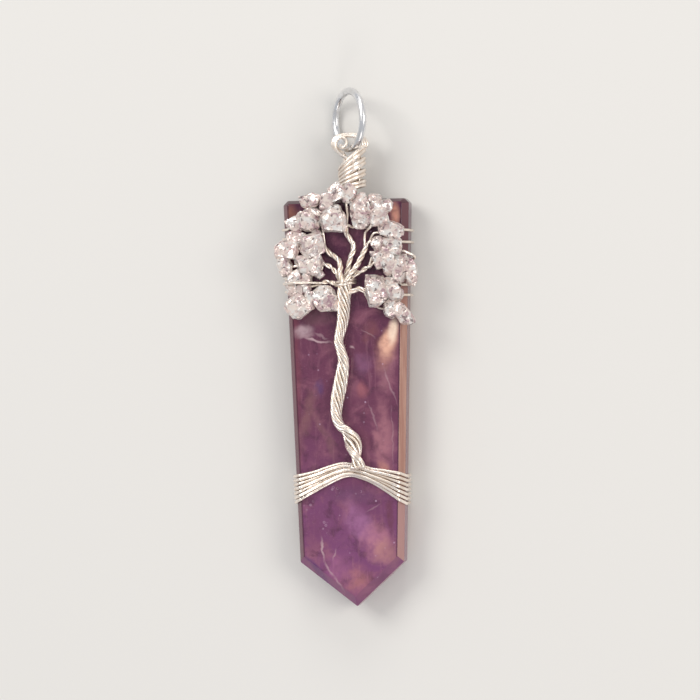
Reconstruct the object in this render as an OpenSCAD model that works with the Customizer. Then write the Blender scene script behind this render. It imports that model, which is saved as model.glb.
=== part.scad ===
// Tree of life pendant: a flat crystal point wrapped in wire, with a canopy of drilled stone chips.
// It lies on its back: length along Y with the ring at the top, front face up.

/* [Stone] */
// Width of the stone at its top end
stone_top_w = 17.4; // [17.2:0.1:17.5]
// Width of the stone at its shoulders
stone_low_w = 14.4; // [14:0.1:14.6]
// Thickness of the stone
stone_thick = 5.2; // [5.1:0.05:5.2]
// Place of the top end along the length
stone_top_y = 20.1; // [19.9:0.1:20.1]
// Place of the shoulders along the length
shoulder_y = -29.4; // [-30.5:0.1:-28]
// Place of the tip along the length
tip_y = -35.5; // [-36.5:0.1:-34.5]
// How far the tip stands to the right of the middle
tip_x = 0.6; // [-1:0.1:1]
// Width of the long bevels, seen from the front
side_bevel = 0.75; // [0.7:0.05:0.8]
// Width of the bevels at the tip, seen from the front
tip_bevel = 1.1; // [0.6:0.05:1.4]
// Width of the bevel at the top end, seen from the front
end_bevel = 0.5; // [0.4:0.05:0.6]
// Depth of the bevels
bevel_depth = 1.3; // [1.2:0.05:1.4]
// Cut across the two top corners
corner_cut = 0.6; // [0.3:0.05:1]

/* [Wire] */
// Thickness of the fine wire
wire_d = 0.4; // [0.34:0.02:0.4]
// Room between wires that lie side by side
wire_room = 0.1; // [0.09:0.01:0.1]
// Length of one turn of a branch of two wires
branch_turn = 2.2; // [1.8:0.1:3]
// Thickness of one rope of the trunk
rope_d = 1.1; // [1:0.05:1.1]
// Wires that show round one rope
rope_wires = 5; // [4:1:6]
// Length of one turn of the wires in a rope
rope_turn = 4.8; // [4.6:0.2:10]
// Number of wires in the root band
root_count = 7; // [5:1:7]

/* [Neck and ring] */
// Place of the neck across the stone
neck_x = 0.8; // [0.75:0.05:0.85]
// Lower end of the neck coil
neck_low_y = 21.35; // [21.3:0.05:21.45]
// Length of one turn of the doubled neck wire
neck_turn = 1.22; // [1.21:0.01:1.24]
// Number of turns round the neck
neck_turns = 3.1; // [3:0.05:3.1]
// Outer width of the neck
neck_d = 3.7; // [3.7:0.1:3.8]
// Wire thickness of the jump ring
ring_wire_d = 1; // [0.8:0.05:1]
// Width of the jump ring, from middle to middle of its wire
ring_d = 7.9; // [7.8:0.1:8]
// Place of the ring's centre along the length
ring_y = 31; // [31:0.05:31.1]
// Lean of the ring from the floor
ring_lean = 52; // [50:1:54]

/* [Chips] */
// Share of the measured size that each chip gets
chip_share = 0.97; // [0.85:0.01:0.97]
// Room round the wire in a drilled chip
bore_room = 0.1; // [0.09:0.01:0.1]

/* [Hidden] */
wire_r = wire_d / 2;
wire_step = wire_d + wire_room;
wire_sides = 5;
seat_room = 0.06;
wire_lay = wire_r + seat_room;
stone_low_z = wire_d + wire_room;
stone_top_z = stone_low_z + stone_thick;
bevel_top_z = stone_top_z - bevel_depth;
bevel_low_z = stone_low_z + bevel_depth;
back_end_x = 1.1;
neck_z = 3.6;
ring_x = 0.5;
ring_r = ring_d / 2;
ring_z = ring_r * sin(ring_lean) + ring_wire_d / 2;
ring_cut = 0.08;
// Place of the cut round the ring
cut_turn = -70;
silver = "#d9d4cc";
quartz = "#ece4e6";
// Steps of a smooth curve between two rows of a table
path_steps = 2;
trunk_steps = 5;
branch_steps = 4;
// How far apart the strands of a twist lie, against the room that straight wires need
twist_room = 1.13;
// Share of its full height by which a rope still rises where the two ropes lie side by side
rope_rise = 0.35;
// Share to which the ends of a rope close
rope_close = 0.6;
// From middle to middle of the wires up the back
back_step = 0.52;

// Columns of a row in BRANCHES. The fork turn is the place of the first wire round the twisted stretch
// where that ends, in degrees from the right-hand side.
BRANCH = 0;
FORK_TURN = 1;
BENDS = 2;
TWIGS = 3;

// Columns of a station along a twig: what it is, its place, a chip's size and a chip's turn.
// A twig that begins with "start" leaves the trunk by itself, the others run on from the twisted stretch.
// A twig ends at an edge of the stone, which it goes round to the back, or at the neck.
KIND = 0;
PLACE = 1;
SIZE = 2;
TURN = 3;

BRANCHES = [
    ["l1", 225, [[-2.0, 8.8, 6.3], [-2.7, 8.85, 6.25], [-3.5, 8.6, 6.3]], [
        [["bend", [-4.6, 8.3, 6.5]],
            ["chip", [-5.85, 7.95, 6.6], [1.8, 1.2, 1.3], 10],
            ["chip", [-7.25, 7.85, 6.45], [1.2, 1.8, 1.3], 0],
            ["left", 7.6]],
        [["bend", [-4.8, 8.8, 7.4]],
            ["bend", [-6.6, 8.8, 7.85]],
            ["bend", [-8.3, 8.7, 7.1]],
            ["far_left", 8.6]],
        [["start", [-1.5, 6.9, 6.6]],
            ["chip", [-2.8, 6.5, 6.9], [2.5, 2.5, 1.9], 0],
            ["chip", [-4.8, 6.6, 6.75], [1.3, 1.8, 1.6], 20],
            ["chip", [-6.6, 5.65, 6.8], [2.4, 2.6, 1.7], 45],
            ["left", 5.4]]
    ]],
    ["l2", 30, [[-1.0, 9.7, 6.3], [-1.6, 10.6, 6.3], [-2.3, 11.1, 6.25], [-3.05, 11.35, 6.35]], [
        [["bend", [-3.4, 11.5, 6.6]],
            ["chip", [-5.05, 11.3, 6.9], [3.3, 2.0, 1.9], -10],
            ["chip", [-8.25, 10.9, 6.7], [1.5, 2.5, 1.6], 0],
            ["bend", [-9.15, 10.7, 6.2]],
            ["far_left", 10.6]],
        [["bend", [-3.1, 10.65, 6.2]],
            ["chip", [-3.7, 9.95, 6.4], [1.0, 1.0, 1.2], 40],
            ["chip", [-5.2, 9.6, 6.6], [1.7, 1.3, 1.4], 0],
            ["chip", [-6.85, 9.6, 6.6], [1.5, 1.3, 1.4], 15],
            ["left", 9.4]]
    ]],
    ["l3", 120, [[-0.45, 9.8, 7.35], [-0.5, 11.0, 6.8], [-0.85, 11.9, 6.45], [-1.5, 12.4, 6.3],
            [-2.4, 13.1, 6.3], [-2.9, 13.9, 6.35]], [
        [["bend", [-3.35, 14.0, 6.8]],
            ["chip", [-4.5, 13.7, 7.0], [2.4, 2.55, 1.9], 10],
            ["chip", [-7.75, 13.25, 6.8], [2.5, 2.2, 1.8], 0],
            ["bend", [-9.2, 13.1, 6.2]],
            ["far_left", 13.0]],
        [["bend", [-3.35, 14.9, 6.45]],
            ["chip", [-3.8, 15.6, 6.5], [1.1, 1.0, 1.3], 30],
            ["chip", [-4.8, 17.0, 7.1], [2.4, 1.9, 1.9], -20],
            ["chip", [-6.65, 16.65, 6.8], [1.5, 1.5, 1.5], 20],
            ["bend", [-7.6, 16.2, 6.4]],
            ["left", 16.1]],
        [["bend", [-2.8, 15.2, 6.5]],
            ["bend", [-2.95, 16.6, 6.4]],
            ["bend", [-3.0, 17.7, 6.6]],
            ["chip", [-4.25, 18.5, 6.8], [2.0, 1.0, 1.4], -10],
            ["bend", [-5.4, 19.15, 6.8]],
            ["chip", [-4.25, 19.95, 6.9], [2.5, 1.4, 1.6], 15],
            ["bend", [-3.2, 20.5, 6.7]],
            ["top", -3.3]],
        [["start", [-5.15, 15.2, 6.35]],
            ["chip", [-6.5, 14.95, 6.45], [2.0, 1.5, 1.3], -10],
            ["left", 14.85]]
    ]],
    ["t", 150, [[0.2, 9.85, 6.3], [0.5, 10.7, 6.3], [0.8, 12.0, 6.3], [1.25, 13.2, 6.3], [1.1, 14.2, 6.3],
            [0.55, 15.0, 6.3], [0.25, 15.8, 6.3], [0.4, 16.6, 6.4]], [
        [["bend", [0.0, 17.2, 6.9]],
            ["chip", [-1.4, 17.5, 7.0], [2.7, 2.7, 2.0], 0],
            ["bend", [-2.95, 18.4, 6.8]],
            ["chip", [-2.2, 19.8, 6.9], [1.7, 1.7, 1.7], 0],
            ["chip", [-0.75, 20.95, 7.0], [1.9, 2.0, 1.8], 20],
            ["neck", [0.35, 21.9, 5.95]]],
        [["bend", [0.65, 17.9, 6.8]],
            ["bend", [0.5, 19.3, 7.0]],
            ["chip", [0.85, 20.75, 6.85], [1.5, 1.9, 1.8], -10],
            ["neck", [1.1, 22.1, 6.15]]],
        [["bend", [1.0, 16.3, 6.45]],
            ["bend", [1.7, 16.1, 6.95]],
            ["chip", [2.6, 18.15, 7.0], [2.3, 3.6, 2.0], 5],
            ["bend", [2.8, 20.45, 6.7]],
            ["top", 2.7]]
    ]],
    ["r3", 180, [[0.95, 9.8, 7.35], [1.75, 10.9, 6.95], [2.25, 11.9, 6.5], [2.7, 12.8, 6.35],
            [3.05, 13.6, 6.3]], [
        [["bend", [2.8, 14.6, 6.2]],
            ["bend", [2.9, 15.5, 6.2]],
            ["bend", [3.75, 16.1, 7.1]],
            ["chip", [4.85, 17.5, 7.6], [2.0, 1.7, 1.7], 10],
            ["chip", [5.15, 18.9, 6.9], [2.6, 1.35, 1.8], 5],
            ["chip", [4.5, 19.95, 6.7], [1.6, 1.0, 1.2], 0],
            ["bend", [4.1, 20.6, 6.4]],
            ["top", 4.0]],
        [["bend", [4.1, 15.35, 6.5]],
            ["chip", [6.3, 15.75, 6.8], [3.0, 1.6, 1.7], -15],
            ["bend", [8.0, 15.75, 6.6]],
            ["far_right", 15.7]],
        [["bend", [3.45, 14.3, 6.75]],
            ["chip", [4.65, 14.0, 6.7], [1.4, 1.4, 1.5], 20],
            ["chip", [6.4, 14.15, 6.6], [2.2, 1.3, 1.5], 0],
            ["right", 14.1]]
    ]],
    ["r2", 20, [[1.6, 9.85, 6.3], [2.3, 10.2, 6.3], [2.9, 10.6, 6.25], [3.5, 10.9, 6.35]], [
        [["bend", [4.05, 11.3, 6.65]],
            ["chip", [4.75, 11.65, 6.8], [1.4, 1.8, 1.7], 15],
            ["chip", [6.2, 11.2, 6.8], [1.15, 2.4, 1.7], 0],
            ["chip", [7.6, 10.75, 6.8], [1.7, 3.1, 1.7], 0],
            ["chip", [9.0, 10.1, 6.1], [1.3, 2.9, 1.5], 0],
            ["bend", [9.65, 9.75, 5.2]],
            ["far_right", 9.6]],
        [["bend", [3.95, 12.55, 6.3]],
            ["bend", [4.8, 13.0, 6.5]],
            ["chip", [6.55, 12.95, 6.55], [2.3, 1.0, 1.3], 0],
            ["bend", [8.3, 12.8, 6.4]],
            ["bend", [9.3, 12.3, 5.9]],
            ["bend", [9.65, 11.9, 5.2]],
            ["far_right", 11.6]]
    ]],
    ["r1", 90, [[1.6, 7.75, 6.3], [2.15, 7.8, 6.3], [2.7, 7.6, 6.3]], [
        [["bend", [3.0, 7.5, 7.1]],
            ["chip", [4.35, 7.5, 7.4], [2.5, 3.2, 1.9], 0],
            ["chip", [6.8, 7.1, 6.85], [2.0, 2.1, 1.7], 20],
            ["right", 6.9]],
        [["bend", [3.4, 8.3, 5.97]],
            ["bend", [5.4, 8.8, 6.3]],
            ["chip", [6.4, 8.7, 6.4], [1.7, 0.95, 1.1], 0],
            ["bend", [7.45, 8.6, 6.3]],
            ["right", 8.3]],
        [["bend", [3.2, 6.2, 5.97]],
            ["bend", [4.6, 5.2, 6.2]],
            ["chip", [6.1, 4.95, 6.65], [1.4, 1.9, 1.5], 0],
            ["chip", [8.0, 4.35, 6.75], [1.5, 2.7, 1.6], 30],
            ["bend", [8.85, 4.0, 6.1]],
            ["far_right", 3.9]]
    ]]
];

// Middle line of the trunk from the crown down: its place across, along and off its seat, and the turn
// of the two ropes round each other in degrees
TRUNK = [
    [0.05, 9.2, 0.0, 180],
    [-0.15, 6.4, 0.0, 150],
    [-0.3, 3.6, 0.0, 124],
    [-0.9, 0.9, 0.0, 92],
    [-0.65, -0.5, 0.0, 70],
    [-0.35, -2.2, 0.0, 43],
    [-0.9, -5.3, 0.0, -6],
    [-1.3, -7.3, 0.0, -38],
    [-1.4, -9.4, 0.0, -71],
    [-0.95, -10.7, 0.0, -92],
    [-0.1, -11.5, 0.0, -120],
    [0.65, -12.8, 0.05, -175],
    [1.05, -14.2, 0.25, -235],
    [1.4, -15.5, 0.7, -300],
    [1.5, -16.5, 1.0, -350]
];

// The front of the root band: place across, and the places of its upper and lower wire along the length
ROOTS = [
    [-6.95, -17.5, -20.85],
    [-4.7, -17.0, -19.6],
    [-2.6, -16.3, -18.5],
    [-0.9, -15.9, -17.75],
    [0.4, -16.0, -17.55],
    [1.6, -16.15, -17.85],
    [3.0, -16.65, -18.4],
    [4.7, -16.9, -19.4],
    [6.95, -17.3, -20.95]
];
// Places of the upper and lower wire on the two sides of the stone
ROOT_LEFT = [-17.65, -21.2];
ROOT_RIGHT = [-17.75, -21.5];

// Bends of the wire eye, from the left end in the neck to the right one
EYE = [[-0.2, 22.6], [-0.2, 26.0], [-1.2, 26.7], [-1.95, 27.5], [-1.5, 28.45], [0.4, 28.8], [2.2, 28.5],
    [2.85, 27.7], [2.4, 26.85], [1.8, 26.1], [1.8, 22.6]];
EYE_MIDDLE = [0.5, 27.4];
EYE_WIRES = 3;
// Above this place the eye's wires lie inside each other, and each is smaller by this share
EYE_LOW_Y = 26.5;
EYE_SHRINK = 0.1;
// How far the eye's wires lie above the middle of the neck
EYE_LIFT = -0.15;
// Bends of the wire that leaves the neck in front of the eye and ends in a small curl
CURL = [[0.8, 23.2, 4.5], [0.6, 25.3, 4.55], [-0.5, 26.2, 4.6], [-1.35, 27.0, 4.6], [-1.5, 27.9, 4.6],
    [-0.85, 28.45, 4.6], [-0.1, 28.05, 4.6], [-0.05, 27.35, 4.6], [-0.6, 27.05, 4.6], [-0.85, 27.45, 4.6]];

// Corners of a chip before it is turned: four on top, six round the girdle and four below, as shares
// of its half size
CHIP_CORNERS = [
    [-0.8, 0.65, 0.95], [0.75, 0.8, 1], [0.8, -0.65, 0.9], [-0.65, -0.8, 1],
    [1, 0.2, 0.1], [0.65, 1, -0.1], [-0.8, 1, 0.1], [-1, -0.15, -0.1], [-0.6, -1, 0.05], [0.85, -1, 0.1],
    [-0.7, 0.6, -1], [0.65, 0.55, -0.95], [0.6, -0.65, -1], [-0.65, -0.6, -0.9]
];
CORNER_SPREAD = 0.2;

function unit(v) = v / norm(v);
function mix(a, b, t) = a + (b - a) * t;

// The shift of a corner, for walls with normals m and n that both move out by one
function mitre(m, n) = (m + n) / (1 + m * n);

function tangent(p, i) =
    i == 0 ? unit(p[1] - p[0])
    : i == len(p) - 1 ? unit(p[i] - p[i - 1])
    : unit(unit(p[i] - p[i - 1]) + unit(p[i + 1] - p[i]));

// A normal carried on to the next tangent without twist
function carried(n, t) = unit(n - (n * t) * t);

function normals(p) =
    let (t0 = tangent(p, 0))
    [for (i = 0, n = carried(abs(t0[2]) < 0.8 ? [0, 0, 1] : [1, 0, 0], t0);
        i < len(p);
        i = i + 1, n = i < len(p) ? carried(n, tangent(p, i)) : n) n];

function blend(a, b, c, d, t) =
    0.5 * (2 * b + (c - a) * t + (2 * a - 5 * b + 4 * c - d) * t ^ 2 + (3 * b - a - 3 * c + d) * t ^ 3);

// A smooth curve through the rows of p, with the given steps between two rows
function curve(p, steps) = [
    for (i = [0:len(p) - 2])
        for (j = [0:steps - 1])
            blend(p[max(i - 1, 0)], p[i], p[i + 1], p[min(i + 2, len(p) - 1)], j / steps),
    p[len(p) - 1]
];

function lengths(p) =
    [for (i = 0, s = 0; i < len(p); i = i + 1, s = i < len(p) ? s + norm(p[i] - p[i - 1]) : s) s];

// One wire of a twisted stretch. More wires turn more slowly, so that all lean alike.
function strand(axis, count, k, fork_turn) =
    let (s = lengths(axis), lay = twist_room * wire_step / 2 / sin(180 / count), end = s[len(s) - 1])
    let (turn_length = branch_turn * count / 2)
    [for (i = [0:len(axis) - 1])
        let (t = tangent(axis, i), side = unit(cross(t, [0, 0, 1])), up = cross(side, t))
        let (a = fork_turn + 360 * (k / count + (end - s[i]) / turn_length))
        axis[i] + lay * (cos(a) * side + sin(a) * up)];

function half_width(y) =
    mix(stone_low_w, stone_top_w, (y - shoulder_y) / (stone_top_y - shoulder_y)) / 2;

// Corners of a wire that goes round a bevelled edge from front to back: out from the edge, and height
function round_edge(edge, bevel) =
    let (slope = unit([bevel_depth, bevel]))
    let (a = wire_lay * mitre([0, 1], slope), b = wire_lay * mitre(slope, [1, 0]))
    [[edge - bevel + a[0], stone_top_z + a[1]],
        [edge + b[0], bevel_top_z + b[1]],
        [edge + b[0], bevel_low_z - b[1]],
        [edge - bevel + a[0], stone_low_z - a[1]]];

function round_side(side, y, first) =
    let (p = round_edge(half_width(y), side_bevel))
    [for (i = [first:3]) [side * p[i][0], y, p[i][1]], [side * back_end_x, y, p[3][1]]];

function round_top(x) =
    let (p = round_edge(stone_top_y, end_bevel), back_length = 3)
    [for (i = [1:3]) [x, p[i][0], p[i][1]], [x, stone_top_y - back_length, p[3][1]]];

// The way from a twig's last station to its end
function way_out(s) =
    s[KIND] == "left" ? round_side(-1, s[PLACE], 0)
    : s[KIND] == "far_left" ? round_side(-1, s[PLACE], 1)
    : s[KIND] == "right" ? round_side(1, s[PLACE], 0)
    : s[KIND] == "far_right" ? round_side(1, s[PLACE], 1)
    : s[KIND] == "top" ? round_top(s[PLACE])
    : [s[PLACE]];

// Bends of a twig between its stations: at each bend, and halfway between two chips
function twig_bends(t) = [
    for (i = [0:len(t) - 2])
        let (chip_next = t[i][KIND] == "chip" && t[i + 1][KIND] == "chip")
        if (t[i][KIND] != "chip" || chip_next)
            chip_next ? (t[i][PLACE] + t[i + 1][PLACE]) / 2 : t[i][PLACE],
    each way_out(t[len(t) - 1])
];

// Where the wire enters and leaves the chip at station i
function bore_ends(t, i) =
    let (next = t[i + 1])
    [t[i - 1][KIND] == "chip" ? (t[i - 1][PLACE] + t[i][PLACE]) / 2 : t[i - 1][PLACE],
        next[KIND] == "chip" ? (next[PLACE] + t[i][PLACE]) / 2
        : next[KIND] == "bend" ? next[PLACE] : way_out(next)[0]];

function twisted_twigs(b) = [for (t = b[TWIGS]) if (t[0][KIND] != "start") t];
function lone_twigs(b) = [for (t = b[TWIGS]) if (t[0][KIND] == "start") t];

// All chips: the node's name, the station and the ends of its bore
CHIPS = [
    for (b = BRANCHES)
        for (k = [0:len(b[TWIGS]) - 1])
            let (t = b[TWIGS][k])
            for (i = [1:len(t) - 2])
                if (t[i][KIND] == "chip")
                    [str("chip_", b[BRANCH], "_", k + 1, "_", i), t[i], bore_ends(t, i)]
];

// A closed solid through rings of points, with a middle point in each end
module skin(rings) {
    n = len(rings[0]);
    last = len(rings) - 1;
    points = [for (r = rings) each r, middle(rings[0]), middle(rings[last])];
    sides = [
        for (i = [0:last - 1])
            for (j = [0:n - 1])
                let (a = i * n + j, b = i * n + (j + 1) % n)
                each [[a, a + n, b], [b, a + n, b + n]]
    ];
    ends = [
        for (j = [0:n - 1])
            each [[j, (j + 1) % n, len(points) - 2],
                [last * n + (j + 1) % n, last * n + j, len(points) - 1]]
    ];
    polyhedron(points, concat(sides, ends));
}

function middle(ring) = [for (k = [0:2]) [for (p = ring) p[k]] * [for (p = ring) 1 / len(ring)]];

// A wire along a path
module wire(path, r = wire_r) {
    n = normals(path);
    skin([
        for (i = [0:len(path) - 1])
            let (t = tangent(path, i), m = cross(t, n[i]))
            [for (j = [0:wire_sides - 1])
                let (a = 360 * j / wire_sides)
                path[i] + r * (cos(a) * n[i] + sin(a) * m)]
    ]);
}

// The outward normal of an edge of an outline that runs counterclockwise
function edge_normal(p, q) = unit([q[1] - p[1], p[0] - q[0]]);

// The outline's corners, moved in by the bevel of each edge. A row holds a corner and the bevel of the
// edge after it.
function inset(rows) =
    let (n = len(rows))
    [for (i = [0:n - 1])
        let (last = rows[(i + n - 1) % n], this = rows[i], next = rows[(i + 1) % n])
        let (u = edge_normal(last[0], this[0]), v = edge_normal(this[0], next[0]), c = u * v)
        this[0] - ((last[1] - this[1] * c) * u + (this[1] - last[1] * c) * v) / (1 - c ^ 2)];

function raised(corners, z) = [for (c = corners) [c[0], c[1], z]];

module crystal_point() {
    top = stone_top_w / 2;
    low = stone_low_w / 2;
    corner_bevel = (side_bevel + end_bevel) / 2;
    // Corners of the outline from the tip round to the right, each with the bevel of the edge after it
    outline = [
        [[tip_x, tip_y], tip_bevel],
        [[low, shoulder_y], side_bevel],
        [[top, stone_top_y - corner_cut], corner_bevel],
        [[top - corner_cut, stone_top_y], end_bevel],
        [[-top + corner_cut, stone_top_y], corner_bevel],
        [[-top, stone_top_y - corner_cut], side_bevel],
        [[-low, shoulder_y], tip_bevel]
    ];
    rim = [for (c = outline) c[0]];
    face = inset(outline);
    corners = concat(raised(face, stone_low_z), raised(rim, bevel_low_z),
        raised(rim, bevel_top_z), raised(face, stone_top_z));
    color("#5b3a63")
        hull()
            polyhedron(corners, [[for (i = [0:len(corners) - 1]) i]]);
}

// Rings of one rope of the trunk, with a lobe for each wire
function rope(axis, half) =
    let (s = lengths([for (a = axis) [a[0], a[1], 0]]))
    let (apart = (rope_d + wire_room) / 2, core = rope_d / 2 - wire_r, last = len(axis) - 1, corner_turn = 60)
    [for (i = [0:last])
        let (a = axis[i], turn = a[3] + half * 180, rise = apart * mix(rope_rise, 1, sin(turn) ^ 2))
        let (t = tangent([for (q = axis) [q[0], q[1], q[2]]], i), side = unit(cross([0, 0, 1], t)))
        let (up = cross(t, side), seat = stone_top_z + seat_room + rope_d / 2 + a[2] + rise)
        let (mid = [a[0], a[1], seat] + apart * (cos(turn) * side + sin(turn) * up))
        let (close = i == 0 || i == last ? rope_close : 1)
        [for (k = [0:rope_wires - 1], b = [-1:2])
            let (lobe = 360 * k / rope_wires - 360 * s[i] / rope_turn)
            let (valley = core * cos(180 / rope_wires), a2 = lobe + 180 / rope_wires)
            let (c = lobe + corner_turn * b)
            let (p = b == 2 ? valley * [cos(a2), sin(a2)]
                : core * [cos(lobe), sin(lobe)] + wire_r * [cos(c), sin(c)])
            mid + close * (p[0] * side + p[1] * up)]];

module trunk() {
    axis = curve(TRUNK, trunk_steps);
    color(silver)
        for (half = [0, 1])
            skin(rope(axis, half));
}

// One wire of the root band, from the middle of the back round the left edge and the front to its start.
// Where the wires come close together every second one lies on top of its neighbours.
function root_wire(k) =
    let (share = k / (root_count - 1), end_gap = 0.1, slant = 0.76)
    let (left_y = mix(ROOT_LEFT[0], ROOT_LEFT[1], share), right_y = mix(ROOT_RIGHT[0], ROOT_RIGHT[1], share))
    let (left = round_side(-1, left_y, 0), right = round_side(1, right_y, 0))
    let (back_y = (left_y + right_y) / 2, back_z = left[3][2])
    let (front = [
        for (r = curve(ROOTS, path_steps))
            let (step = slant * abs(r[1] - r[2]) / (root_count - 1))
            let (lift = k % 2 == 1 ? sqrt(max(0, wire_step ^ 2 - step ^ 2)) : 0)
            [r[0], mix(r[1], r[2], share), stone_top_z + wire_lay + lift]
    ])
    concat([[-end_gap, back_y, back_z]], [left[3], left[2], left[1]], front,
        [right[1], right[2], right[3]], [[end_gap, back_y, back_z]]);

module root_wires() {
    color(silver)
        for (k = [0:root_count - 1])
            wire(root_wire(k));
}

// Two short arches of wire over the top of the trunk
module crown_wrap() {
    reach = rope_d + 2 * wire_room;
    foot_z = stone_top_z + wire_lay;
    top_room = 0.15;
    top_z = stone_top_z + rope_d + rope_rise * reach + wire_d + top_room;
    top_y = TRUNK[0][1] - wire_step / 2;
    slant = 0.2;
    flat_top = 0.8;
    steps = 8;
    color(silver)
        for (y = [top_y, top_y - wire_step])
            wire([for (i = [0:steps])
                let (a = 180 * i / steps)
                [TRUNK[0][0] - (reach + wire_lay) * cos(a), y - slant * cos(a),
                    mix(foot_z, top_z, sin(a) ^ flat_top)]]);
}

// Three wires up the back, round the top end and into the neck
module back_wires() {
    band_top = (ROOT_LEFT[0] + ROOT_RIGHT[0]) / 2;
    edge = round_edge(stone_top_y, end_bevel);
    free_turns = 0.5;
    color(silver)
        for (k = [-1:1])
            wire([
                [k * back_step, band_top + wire_step, edge[3][1]],
                [k * back_step, 0, edge[3][1]],
                [k * back_step, edge[3][0], edge[3][1]],
                [k * back_step, edge[2][0], edge[2][1]],
                [neck_x + k * back_step, neck_low_y, neck_z],
                [neck_x + k * back_step, neck_low_y + neck_turn * (neck_turns - free_turns), neck_z]
            ]);
}

// The doubled coil round the neck, whose turns lean more towards the top
module neck_wrap() {
    r = (neck_d - wire_d) / 2;
    steps = 12;
    lean = [0.25, 0.42];
    color(silver)
        for (k = [0, 1])
            wire([for (i = [0:floor(steps * neck_turns)])
                let (a = 360 * i / steps, x = r * sin(a))
                let (slope = mix(lean[0], lean[1], i / steps / neck_turns))
                [neck_x + x, neck_low_y + neck_turn * (i / steps + k / 2) + slope * x, neck_z + r * cos(a)]]);
}

module bail_eye() {
    color(silver) {
        for (k = [0:EYE_WIRES - 1])
            wire(curve([for (p = EYE)
                let (c = p[1] < EYE_LOW_Y ? p : mix(p, EYE_MIDDLE, k * EYE_SHRINK))
                [c[0], c[1], neck_z + EYE_LIFT + (k - (EYE_WIRES - 1) / 2) * wire_step]], path_steps));
        wire(curve(CURL, path_steps));
    }
}

module jump_ring() {
    color("#c9ced2")
        translate([ring_x, ring_y, ring_z])
            rotate([0, -ring_lean, 0])
                difference() {
                    rotate_extrude($fn = 64)
                        translate([ring_r, 0])
                            circle(d = ring_wire_d, $fn = 32);
                    rotate([0, 0, cut_turn])
                        translate([ring_r, 0, 0])
                            cube([2 * ring_wire_d, ring_cut, 2 * ring_wire_d], center = true);
                }
}

module branch(b) {
    twisted = twisted_twigs(b);
    axis = curve(b[BENDS], branch_steps);
    color(silver) {
        for (k = [0:len(twisted) - 1])
            wire(concat(strand(axis, len(twisted), k, b[FORK_TURN]), twig_bends(twisted[k])));
        for (t = lone_twigs(b))
            wire(twig_bends(t));
    }
}

// A chip with flat broken faces, drilled for its wire
module chip(c, seed) {
    station = c[1];
    from = c[2][0];
    to = c[2][1];
    jitter = rands(-CORNER_SPREAD, CORNER_SPREAD, 3 * len(CHIP_CORNERS), seed);
    corners = [
        for (i = [0:len(CHIP_CORNERS) - 1])
            let (p = CHIP_CORNERS[i] + [jitter[3 * i], jitter[3 * i + 1], jitter[3 * i + 2]])
            [for (k = [0:2]) station[SIZE][k] / 2 * chip_share * max(-1, min(1, p[k]))]
    ];
    way = to - from;
    drill_over = 2;
    color(quartz)
        difference() {
            translate(station[PLACE])
                rotate([0, 0, station[TURN]])
                    hull()
                        polyhedron(corners, [[for (i = [0:len(corners) - 1]) i]]);
            translate((from + to) / 2)
                rotate([0, acos(way[2] / norm(way)), atan2(way[1], way[0])])
                    cylinder(r = wire_r + bore_room, h = norm(way) + drill_over, center = true, $fn = 24);
        }
}

crystal_point();
trunk();
root_wires();
crown_wrap();
back_wires();
neck_wrap();
bail_eye();
jump_ring();
for (b = BRANCHES)
    branch(b);
for (i = [0:len(CHIPS) - 1])
    chip(CHIPS[i], i + 1);
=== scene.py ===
"""Tree of life pendant: the looks of the packed part.

The frame is in metres. The tables and the ways of the wires are in millimetres, as the part's own are.
"""

import math
import random

import bmesh
import bpy
from bpy.props import FloatProperty, FloatVectorProperty, IntProperty, PointerProperty
from bpy.types import NodeSocket, Operator, Panel, PropertyGroup, Scene
from mathutils import Matrix, Vector
from mathutils.noise import fractal


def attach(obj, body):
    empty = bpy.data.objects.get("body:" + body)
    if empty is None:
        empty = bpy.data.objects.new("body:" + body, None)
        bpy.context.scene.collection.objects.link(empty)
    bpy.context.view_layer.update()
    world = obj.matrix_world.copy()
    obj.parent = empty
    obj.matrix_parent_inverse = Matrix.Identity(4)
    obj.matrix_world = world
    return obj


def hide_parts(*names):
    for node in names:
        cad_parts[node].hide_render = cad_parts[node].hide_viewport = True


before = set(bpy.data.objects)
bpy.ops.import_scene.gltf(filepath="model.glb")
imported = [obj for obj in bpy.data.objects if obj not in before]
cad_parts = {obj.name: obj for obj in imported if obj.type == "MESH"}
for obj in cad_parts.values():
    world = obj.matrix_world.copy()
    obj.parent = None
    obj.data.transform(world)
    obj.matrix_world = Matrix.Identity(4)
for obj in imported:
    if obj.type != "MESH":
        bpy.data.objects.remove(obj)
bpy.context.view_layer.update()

bl_info = {
    "name": "Tree of Life Pendant",
    "version": (1, 0, 0),
    "blender": (4, 5, 0),
    "location": "View3D > Sidebar > Pendant",
    "description": "Builds the stone, the wire tree, the quartz chips and the ring of a pendant",
    "category": "Add Mesh",
}

MM = 0.001
BODY = "root"

# The stone: its widths, its back and front, the ends of its long sides, and its bevels
STONE_TOP_W = 17.4
STONE_LOW_W = 14.4
STONE_LOW_Z = 0.5
STONE_TOP_Z = 5.7
STONE_TOP_Y = 20.1
SHOULDER_Y = -29.4
BEVEL_DEPTH = 1.3
SIDE_BEVEL = 0.75
END_BEVEL = 0.5

# The wire: its thicknesses, its room over the stone, its ends at the back, and one turn of a branch
WIRE = 0.4
TWIG_WIRE = 0.36
ROOM = 0.02
LAY_ROOM = 0.03
WIRE_LAY = WIRE / 2 + LAY_ROOM
BACK_END_X = 1.1
BRANCH_TURN = 2.2
ROOT_COUNT = 7
UP = Vector((0, 0, 1))

# The rope of the trunk: half its width and depth, its outer and inner wires, the length of one turn, and
# where and how much it spreads
TRUNK_HALF_WIDTH = 0.8
TRUNK_HALF_DEPTH = 0.46
TRUNK_WIRES = 9
TRUNK_CORE = 3
TRUNK_TURN = 8.5
TRUNK_FOOT_Y = -10.5
TRUNK_SPREAD = 1.25

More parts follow.
